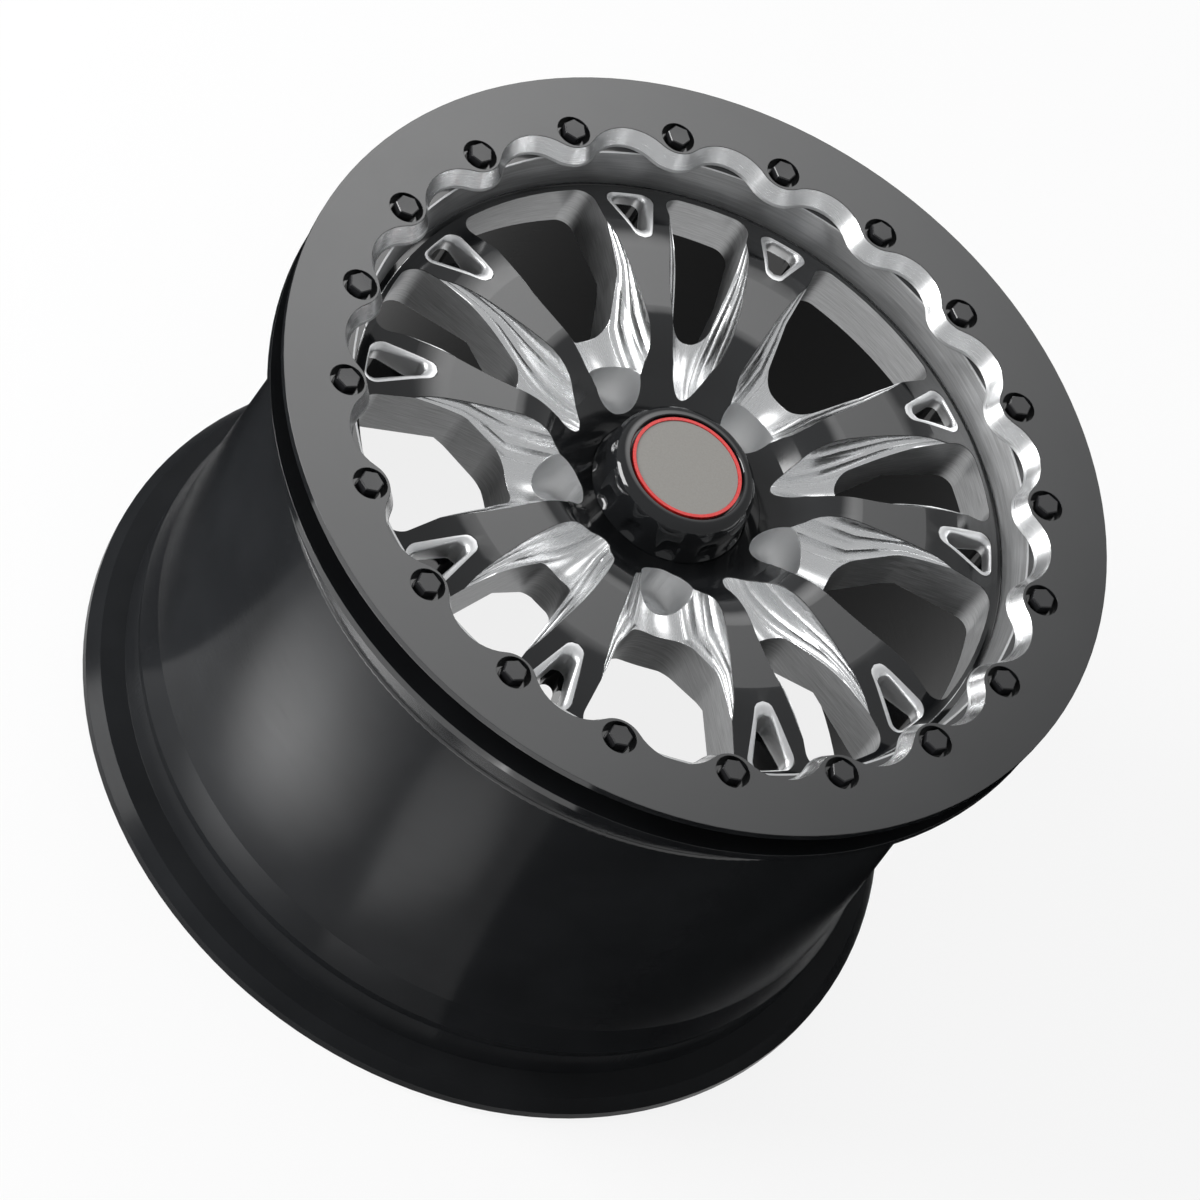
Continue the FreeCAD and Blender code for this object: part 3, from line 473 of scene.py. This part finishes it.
def from_hole(finish, count, circle, offset=0.0):
    """Distance from the middle of the nearest of count holes on a circle."""
    side, along = beside(finish, count, offset)
    away = finish.math("SUBTRACT", along, circle)
    squares = [finish.math("POWER", part, 2.0) for part in (side, away)]
    return finish.math("SQRT", finish.math("ADD", *squares))


def lug_pockets(finish):
    """Walls and floors of the pockets for the lug nuts."""
    return finish.no(finish.step(from_hole(finish, PAIRS, LUG_CIRCLE_R), LUG_POCKET_R))


# Milled wave round the clamp ring's opening, and the inner bead ring's lip.
WAVE_R = 176.4 * MM
WAVE_TOP = drop(0.25)
WAVE_GREY = drop(7.9)
WAVE_FOOT = drop(9.15)
LIP_R = 168.2 * MM
LIP_FOOT = drop(28.4)


def ring_coat(finish):
    """Black parts of the clamp ring: all but the milled wave round its opening."""
    reach = from_hole(finish, BOLTS, BOLT_CIRCLE_R, math.pi / BOLTS)
    wave = finish.all_of(
        finish.no(finish.step(finish.radius, WAVE_R)),
        finish.no(finish.step(finish.z, WAVE_TOP, 0.05 * MM)),
        finish.step(finish.z, WAVE_FOOT, 0.03 * MM),
        finish.step(reach, COUNTERBORE_R + 0.25 * MM, 0.1 * MM),
    )
    return finish.no(wave)


def ring_satin(finish):
    """Brushed grey lower edge of the milled wave."""
    return finish.no(finish.step(finish.z, WAVE_GREY, 0.1 * MM))


def lip_coat(finish):
    """Black parts of the inner bead ring: all but its lip."""
    return finish.step(finish.radius, LIP_R)


def lip_satin(finish):
    """Grey part of the lip: all but a bare line round its foot."""
    return finish.step(finish.z, LIP_FOOT, 0.2 * MM)


def round_lines(finish):
    """Fine lines round the axis."""
    return finish.spread(lathe_marks(finish, 1500.0), 0.38, 0.62)


def dress(node, material):
    """Gives a solid its finish."""
    slots = nodes[node].material_slots
    if not slots:
        nodes[node].data.materials.append(material)
    for item in slots:
        item.material = material


def new_mesh(name, vertices, faces, material):
    """A mesh object in the scene, with one material."""
    mesh = bpy.data.meshes.new(name)
    mesh.from_pydata([tuple(v) for v in vertices], [], faces)
    mesh.validate()
    mesh.materials.append(material)
    made = bpy.data.objects.new(name, mesh)
    bpy.context.scene.collection.objects.link(made)
    return made


SHARP_ANGLE = math.radians(32)


def new_piece(name, vertices, faces, material, replaced=None):
    """A mesh piece that rides on the wheel, in place of a solid or beside it."""
    piece = new_mesh(name, vertices, faces, material)
    piece.data.shade_smooth()
    piece.data.set_sharp_from_angle(angle=SHARP_ANGLE)
    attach(piece, "root")
    if replaced:
        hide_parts(replaced)


def skin_rings(rings):
    """Vertices, and faces between rings of points, closed where a ring is one point."""
    vertices, starts, faces = [], [], []
    for ring in rings:
        starts.append(len(vertices))
        vertices.extend(ring)
    for i in range(len(rings) - 1):
        low, high = starts[i], starts[i + 1]
        count = max(len(rings[i]), len(rings[i + 1]))
        for j in range(count):
            k = (j + 1) % count
            if len(rings[i]) == 1:
                faces.append((low, high + k, high + j))
            elif len(rings[i + 1]) == 1:
                faces.append((low + j, low + k, high))
            else:
                faces.append((low + j, low + k, high + k, high + j))
    return vertices, faces


BOLT_SIDES = 24
HEX_HALF = 5.0 * MM
HEAD_HEIGHT = 6.4 * MM
HEAD_CHAMFER = 0.5 * MM
TOP_SHARE = 0.95
TOP_INSET = 0.15 * MM
WASHER_R = 5.9 * MM
WASHER_HEIGHT = 0.5 * MM
SHANK_R = 3.9 * MM
SHANK_LENGTH = 20.5 * MM
BOLT_TURN = 0.3
BOLT_TURN_STEP = 2.4


def bolt_rings():
    """Rings of points of one hexagon bolt with a washer face, from its foot to its top."""
    turns = [2 * math.pi * j / BOLT_SIDES for j in range(BOLT_SIDES)]

    def hexagon(turn):
        return HEX_HALF / math.cos((turn + math.pi / 6) % (math.pi / 3) - math.pi / 6)

    def ring(height, radius):
        reach = [radius(turn) if callable(radius) else radius for turn in turns]
        return [Vector((r * math.cos(t), r * math.sin(t), height)) for r, t in zip(reach, turns)]

    def top(turn):
        return hexagon(turn) * TOP_SHARE - TOP_INSET

    return [
        [Vector((0, 0, -SHANK_LENGTH))],
        ring(-SHANK_LENGTH, SHANK_R),
        ring(0.0, SHANK_R),
        ring(0.0, WASHER_R),
        ring(WASHER_HEIGHT, WASHER_R),
        ring(WASHER_HEIGHT + 0.1 * MM, hexagon),
        ring(HEAD_HEIGHT - HEAD_CHAMFER, hexagon),
        ring(HEAD_HEIGHT, top),
        [Vector((0, 0, HEAD_HEIGHT))],
    ]


def add_bolts(material):
    """Hexagon bolts, one in each pocket of the clamp ring, each turned as it was tightened."""
    points, sides = skin_rings(bolt_rings())
    vertices, faces = [], []
    for step in range(BOLTS):
        turn = -math.pi / 2 + (step + 0.5) * 2 * math.pi / BOLTS
        own = Matrix.Rotation(turn + BOLT_TURN * math.sin(step * BOLT_TURN_STEP), 4, "Z")
        x, y = BOLT_CIRCLE_R * math.cos(turn), BOLT_CIRCLE_R * math.sin(turn)
        place = Vector((x, y, COUNTERBORE_FLOOR))
        start = len(vertices)
        vertices.extend(own @ point + place for point in points)
        faces.extend(tuple(start + v for v in side) for side in sides)
    new_piece("hex_bolts", vertices, faces, material, "clamp_bolts")


# Section of the cap from the middle of its top to the middle of its underside: radius, drop.
CAP_SECTION = [
    (0.0, 21.6), (27.3, 21.6), (27.35, 22.5), (28.35, 22.5), (28.4, 21.3), (28.4, 19.8), (28.8, 19.4),
    (30.2, 19.45), (31.6, 19.7), (32.9, 20.35), (34.0, 21.3), (34.9, 22.6), (35.6, 24.3), (36.1, 26.2),
    (36.45, 28.2), (36.75, 30.2), (37.05, 32.2), (37.3, 34.0), (37.6, 36.0), (37.9, 37.8), (38.2, 39.2),
    (38.6, 40.4), (38.8, 41.4), (38.8, 54.8), (38.2, 55.0), (32.9, 55.0), (32.9, 25.7), (32.5, 25.6),
    (0.0, 25.6),
]
CAP_SCALLOPS = 12
CAP_SEGMENTS = 240
CAP_SIDE_R = 34.0
SCALLOP_DEPTH = 1.9
SCALLOP_EDGE = -0.25
SCALLOP_TOP = (29.6, 33.4)
SCALLOP_FOOT = (38.6, 40.4)


def ramp(value, low, high):
    """0 at low, 1 at high, and smooth between."""
    share = min(1.0, max(0.0, (value - low) / (high - low)))
    return share * share * (3 - 2 * share)


def add_cap(material):
    """Centre cap with a rounded shoulder and finger scallops."""
    rings = []
    for radius, depth in CAP_SECTION:
        if radius == 0.0:
            rings.append([Vector((0, 0, drop(depth)))])
            continue
        outside = radius > CAP_SIDE_R
        bite = SCALLOP_DEPTH * ramp(depth, *SCALLOP_TOP) * (1 - ramp(depth, *SCALLOP_FOOT)) * outside
        ring = []
        for j in range(CAP_SEGMENTS):
            turn = 2 * math.pi * j / CAP_SEGMENTS
            dip = ramp(math.cos(CAP_SCALLOPS * (turn + math.pi / 2)), SCALLOP_EDGE, 1.0)
            reach = (radius - bite * dip) * MM
            ring.append(Vector((reach * math.cos(turn), reach * math.sin(turn), drop(depth))))
        rings.append(ring)
    rings.reverse()
    vertices, faces = skin_rings(rings)
    new_piece("scalloped_cap", vertices, faces, material, "centre_cap")


# Outlines of the pockets in the spoke ends and of their holes, in millimetres: apex's distance
# from the axis and its rounding, half-width where measured, rounding there, and outer radius.
POCKET_OUTLINE = (114.6, 5.0, 12.1, 5.0, 156.8)
HOLE_OUTLINE = (118.5, 4.0, 8.1, 3.6, 155.4)
POCKET_SIDE_Y = 151.0
CORNER_STEPS = 8
SIDE_STEPS = 5
RIM_BULGE_RUN = 8.0
RIM_STEPS = 7
RIM_SHARES = (0.02, 0.99)
RIM_SINK = 0.1
RIM_DEPTH = 3.2
RIM_FOOT = 33.4


def rounded_triangle(apex, apex_round, half, corner_round, rim):
    """Points of a pocket's outline towards -Y, the same number for each outline."""
    tip = Vector((0, -apex))
    side = Vector((half, apex - POCKET_SIDE_Y)).normalized()
    reach = -side.dot(tip) + math.sqrt(side.dot(tip) ** 2 - apex**2 + rim**2)
    right = tip + side * reach
    corners = [(tip, apex_round), (right, corner_round), (Vector((-right.x, right.y)), corner_round)]
    arcs = []
    for i, (here, rounding) in enumerate(corners):
        back = (corners[i - 1][0] - here).normalized()
        on = (corners[(i + 1) % 3][0] - here).normalized()
        half_turn = back.angle(on) / 2
        run = rounding / math.tan(half_turn)
        start, end = here + back * run, here + on * run
        centre = here + (back + on).normalized() * (rounding / math.sin(half_turn))
        chords = [start.lerp(end, step / CORNER_STEPS) for step in range(CORNER_STEPS + 1)]
        arcs.append([centre + (chord - centre).normalized() * rounding for chord in chords])
    points = []
    for arc, after in zip(arcs, arcs[1:] + arcs[:1]):
        points.extend(arc)
        points.extend(arc[-1].lerp(after[0], step / SIDE_STEPS) for step in range(1, SIDE_STEPS))
    level = -right.y
    for point in points:
        bulge = math.sqrt(rim**2 - point.x**2) - level
        point.y -= bulge * ramp(-point.y, level - RIM_BULGE_RUN, level)
    return points


def face_drop(radius):
    """Drop of the wheel centre's face at a radius, in millimetres."""
    points = face_points()
    for low, high in zip(points, points[1:]):
        if low.x <= radius <= high.x:
            return low.y + (high.y - low.y) * (radius - low.x) / (high.x - low.x)
    return points[-1].y


def add_pocket_rims(material):
    """Bright rounded rims that run from the spoke-end pockets' edges down into their holes."""
    edge, hole = rounded_triangle(*POCKET_OUTLINE), rounded_triangle(*HOLE_OUTLINE)
    vertices, faces = [], []
    count = len(edge)
    for pair in range(PAIRS):
        for offset in (-POCKET_ANGLE, POCKET_ANGLE):
            turn = Matrix.Rotation(offset + 2 * math.pi * pair / PAIRS, 4, "Z")
            start = len(vertices)
            for step in range(RIM_STEPS + 2):
                about = min(1.0, step / RIM_STEPS) * math.pi / 2
                for outer, inner in zip(edge, hole):
                    first, last = RIM_SHARES
                    place = outer.lerp(inner, first + (last - first) * math.sin(about))
                    depth = face_drop(outer.length) + RIM_SINK + RIM_DEPTH * (1 - math.cos(about))
                    if step > RIM_STEPS:
                        depth = RIM_FOOT
                    vertices.append(turn @ Vector((place.x * MM, place.y * MM, drop(depth))))
            for step in range(RIM_STEPS + 1):
                low = start + step * count
                for j in range(count):
                    k = (j + 1) % count
                    faces.append((low + j, low + k, low + count + k, low + count + j))
    new_piece("pocket_rims", vertices, faces, material)


def bare_metal(name):
    """Bright milled metal with fine streaks."""
    finish = Finish(name)
    streak = along_spokes(finish)
    finish.set(
        Base_Color=finish.mix_colour(finish.spread(streak, 0, 1), tuple(c * 0.96 for c in BARE), BARE),
        Metallic=1.0,
        Roughness=finish.spread(streak, 0.38, 0.48),
    )
    finish.wear(streak, 0.05, MARK_DEPTH)
    return finish.material


WELD_SEGMENTS = 480
WELD_SIDES = 8
WELD_PITCH = math.radians(1.5)
WELD_RIPPLE = 0.12
# Radius, height and half-thickness of the weld beads.
BARREL_WELD = (183.2 * MM, 212.0 * MM, 1.9 * MM)
CENTRE_WELD = (172.4 * MM, drop(51.5), 2.2 * MM)


def add_weld(name, radius, height, size, material):
    """Weld bead with overlapping ripples, round a joint."""
    rings = []
    for i in range(WELD_SEGMENTS):
        turn = 2 * math.pi * i / WELD_SEGMENTS
        swell = size * (1 - WELD_RIPPLE + WELD_RIPPLE * abs(math.sin(turn / WELD_PITCH * math.pi)))
        ring = []
        for j in range(WELD_SIDES):
            about = 2 * math.pi * j / WELD_SIDES
            reach, up = radius + swell * math.cos(about), height + swell * math.sin(about)
            ring.append(Vector((reach * math.cos(turn), reach * math.sin(turn), up)))
        rings.append(ring)
    vertices = [point for ring in rings for point in ring]
    faces = []
    for i in range(WELD_SEGMENTS):
        here, there = i * WELD_SIDES, (i + 1) % WELD_SEGMENTS * WELD_SIDES
        for j in range(WELD_SIDES):
            k = (j + 1) % WELD_SIDES
            faces.append((here + j, there + j, there + k, here + k))
    new_piece(name, vertices, faces, material)


def badge_grey():
    """Plain satin disc, where the photograph's has words."""
    finish = Finish("badge_satin")
    grain = finish.noise(1400.0, 2.0)
    finish.set(
        Base_Color=finish.mix_colour(finish.spread(grain, 0, 1), (0.25, 0.24, 0.222), (0.28, 0.268, 0.248)),
        Roughness=finish.spread(grain, 0.3, 0.4),
    )
    finish.wear(grain, 0.1, 0.01 * MM, 0.2 * MM)
    return finish.material


def accent_red():
    """Red ring round the badge."""
    finish = Finish("accent_red_paint")
    tone = finish.spread(finish.noise(300.0), 0, 1)
    finish.set(
        Base_Color=finish.mix_colour(tone, (0.66, 0.02, 0.018), (0.74, 0.03, 0.025)),
        Roughness=finish.spread(finish.noise(700.0), 0.22, 0.34),
    )
    finish.wear(tone, 0.1, 0.01 * MM, 0.2 * MM)
    return finish.material


def valve_metal():
    """Turned and plated metal of the valve."""
    finish = Finish("valve_plating")
    rings = finish.noise(1800.0, 3.0, (1, 1, 0.2))
    finish.set(
        Base_Color=finish.mix_colour(finish.spread(rings, 0, 1), (0.42, 0.42, 0.43), (0.5, 0.5, 0.51)),
        Metallic=1.0,
        Roughness=finish.spread(rings, 0.24, 0.36),
    )
    finish.wear(rings, 0.2, MARK_DEPTH)
    return finish.material


# Floor, world and lamps.
FLOOR_GLOW = 0.85
FLOOR_HALF = 9.0
WORLD_GREY = (0.45, 0.455, 0.46, 1)


def add_floor():
    """Pale floor, white to the camera and in reflections, that keeps the wheel's shadow."""
    finish = Finish("floor_paint")
    grain = finish.spread(finish.noise(3.0), 0, 1)
    finish.set(
        Base_Color=finish.mix_colour(grain, (0.89, 0.89, 0.89), (0.9, 0.9, 0.9)),
        Roughness=0.7,
        Specular_IOR_Level=0.1,
    )
    rays = finish.node("ShaderNodeLightPath").outputs
    seen = finish.any_of(rays["Is Camera Ray"], rays["Is Glossy Ray"], rays["Is Transmission Ray"])
    white = finish.node("ShaderNodeEmission", {"Color": (1, 1, 1, 1), "Strength": 1.0})
    share = finish.math("MULTIPLY", seen, FLOOR_GLOW)
    blend = finish.node("ShaderNodeMixShader", {0: share, 1: finish.shader.outputs[0], 2: white.outputs[0]})
    finish.put(finish.tree.nodes["Material Output"].inputs["Surface"], blend.outputs[0])
    corners = [(x * FLOOR_HALF, y * FLOOR_HALF, 0) for x, y in ((-1, -1), (1, -1), (1, 1), (-1, 1))]
    new_mesh("floor", corners, [(0, 1, 2, 3)], finish.material)


def add_world():
    """Even grey light from all round."""
    world = bpy.data.worlds.new("studio")
    world.use_nodes = True
    world.node_tree.nodes["Background"].inputs["Color"].default_value = WORLD_GREY
    bpy.context.scene.world = world


WHEEL_MIDDLE = Vector((0, 0, 0.2))

# Lit panels and black cards that lie beside the wheel, on the camera's side. The barrel shows
# them as bright and dark bands.
PANEL_HEIGHT = 3 * MM
PANEL_WIDTH = 0.11
PANEL_DISTANCE = 0.289
PANEL_BEARING = math.radians(-138.3)
CAMERA_BEARING = math.radians(-114.7)
CARD_REACH = (0.212, 0.44)
CARD_STEPS = 24


def new_lamp(name, width, height, radiance, fades):
    """A lit rectangle that may fade from its middle to its edge."""
    data = bpy.data.lights.new(name, "AREA")
    data.shape = "RECTANGLE"
    data.size = width
    data.size_y = height
    data.energy = radiance * math.pi * width * height
    if fades:
        data.use_nodes = True
        tree = data.node_tree
        place = tree.nodes.new("ShaderNodeNewGeometry")
        offset = tree.nodes.new("ShaderNodeVectorMath")
        offset.operation = "DISTANCE"
        offset.inputs[1].default_value = (0.5, 0.5, 0.0)
        fade = tree.nodes.new("ShaderNodeMapRange")
        fade.inputs["From Min"].default_value = 0.0
        fade.inputs["From Max"].default_value = 0.5
        fade.inputs["To Min"].default_value = 1.0
        fade.inputs["To Max"].default_value = 0.0
        tree.links.new(place.outputs["Parametric"], offset.inputs[0])
        tree.links.new(offset.outputs["Value"], fade.inputs["Value"])
        tree.links.new(fade.outputs[0], tree.nodes["Emission"].inputs["Strength"])
    lamp = bpy.data.objects.new(name, data)
    bpy.context.scene.collection.objects.link(lamp)
    return lamp


def soft_box(name, direction, distance, width, height, radiance, fades=False):
    """A soft box that looks at the wheel from a direction."""
    lamp = new_lamp(name, width, height, radiance, fades)
    way = Vector(direction).normalized()
    lamp.location = WHEEL_MIDDLE + way * distance
    lamp.rotation_mode = "QUATERNION"
    lamp.rotation_quaternion = way.to_track_quat("Z", "Y")


def low_panel(name, sideways, length, radiance, fades=False):
    """A panel that lies beside the wheel and shines up at the barrel, out of the camera's sight."""
    lamp = new_lamp(name, PANEL_WIDTH, length, radiance, fades)
    turn = Matrix.Rotation(PANEL_BEARING, 4, "Z")
    lamp.location = turn @ Vector((PANEL_DISTANCE, sideways, PANEL_HEIGHT))
    lamp.rotation_euler = (math.pi, 0, PANEL_BEARING)
    lamp.visible_camera = False


def dark_card(name, start, end):
    """A black card low round a part of the wheel, which only reflections show.

    start and end are degrees from the camera's bearing.
    """
    finish = Finish(name)
    finish.set(Base_Color=(0.001, 0.001, 0.001, 1.0), Roughness=0.9, Specular_IOR_Level=0.0)
    vertices = []
    for step in range(CARD_STEPS + 1):
        bearing = CAMERA_BEARING + math.radians(start + (end - start) * step / CARD_STEPS)
        for reach in CARD_REACH:
            vertices.append((reach * math.cos(bearing), reach * math.sin(bearing), PANEL_HEIGHT))
    faces = [(2 * i, 2 * i + 1, 2 * i + 3, 2 * i + 2) for i in range(CARD_STEPS)]
    card = new_mesh(name, vertices, faces, finish.material)
    card.visible_camera = False
    card.visible_diffuse = False
    card.visible_shadow = False


add_camera()
add_floor()
add_world()
soft_box("top_box", (0.12, 0.71, 0.77), distance=3.4, width=2.5, height=2.5, radiance=3.8, fades=True)
soft_box("left_box", (-0.97, 0.06, 0.3), distance=2.6, width=1.4, height=1.6, radiance=14.0)
low_panel("left_panel", sideways=-0.04, length=0.26, radiance=16.0, fades=True)
low_panel("front_panel", sideways=0.15, length=0.1, radiance=4.0)
dark_card("right_card", start=22.0, end=150.0)
dark_card("left_card", start=-140.0, end=-58.0)

dress(
    "wheel_centre",
    three_finishes(
        "milled_centre",
        centre_coat,
        centre_satin,
        along_spokes,
        level_lines,
        relief=centre_relief,
        pale=lug_pockets,
    ),
)
dress("clamp_ring", three_finishes("clamp_ring_finish", ring_coat, ring_satin, faint_lines, faint_lines))
dress("inner_bead_ring", three_finishes("bead_ring_finish", lip_coat, lip_satin, round_lines, round_lines))
dress("barrel", turned_black("barrel_black"))
dress("cap_badge", badge_grey())
dress("cap_ring", accent_red())
for name in ("valve_stem", "valve_nut"):
    dress(name, valve_metal())
dress("valve_cap", gloss_black("valve_cap_black", rough=(0.3, 0.4)))
add_bolts(gloss_black("bolt_oxide", colour=(0.012, 0.012, 0.013), rough=(0.2, 0.3), marks=0.1, ior=1.5))
add_cap(gloss_black("cap_gloss", rough=(0.04, 0.07), marks=0.05, ior=1.5))
add_pocket_rims(bare_metal("bare_milled"))
weld_finish = gloss_black("weld_black", rough=(0.2, 0.3))
add_weld("barrel_weld", *BARREL_WELD, weld_finish)
add_weld("centre_weld", *CENTRE_WELD, weld_finish)

bpy.context.scene.view_settings.view_transform = "Standard"
